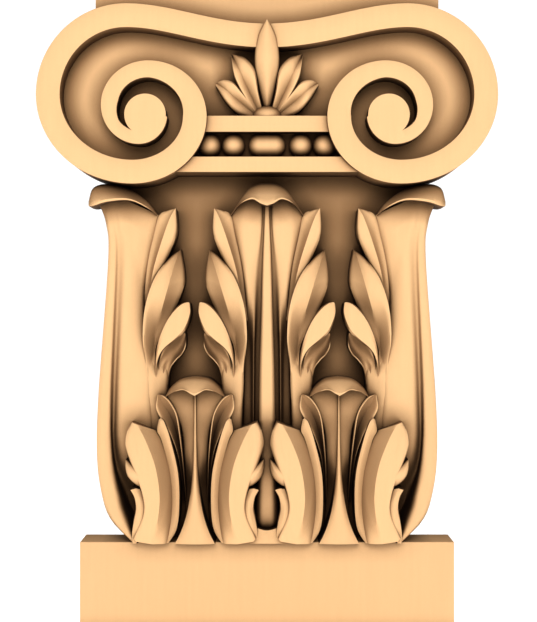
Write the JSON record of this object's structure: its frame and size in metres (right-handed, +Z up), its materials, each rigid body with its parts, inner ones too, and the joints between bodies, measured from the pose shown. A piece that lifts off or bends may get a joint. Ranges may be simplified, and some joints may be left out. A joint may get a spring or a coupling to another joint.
{
  "type": "pilaster capital",
  "caption": "Flat-backed carved pilaster capital with volutes, a palmette, a bead-and-reel row and acanthus leaves, on the plain top of its shaft.",
  "frame": {"origin": "middle of the shaft block's underside, 15.5 mm in front of the flat back", "axes": "+Z up, +Y into the wall, so the carved face looks along -Y"},
  "size_m": [0.292, 0.049, 0.424],
  "materials": {
    "carving": "bare, finely sanded, matte",
    "shaft": "bare, finely sanded, matte"
  },
  "bodies": {
    "root": {"capital": "carving", "shaft_block": "shaft"}
  },
  "joints": []
}
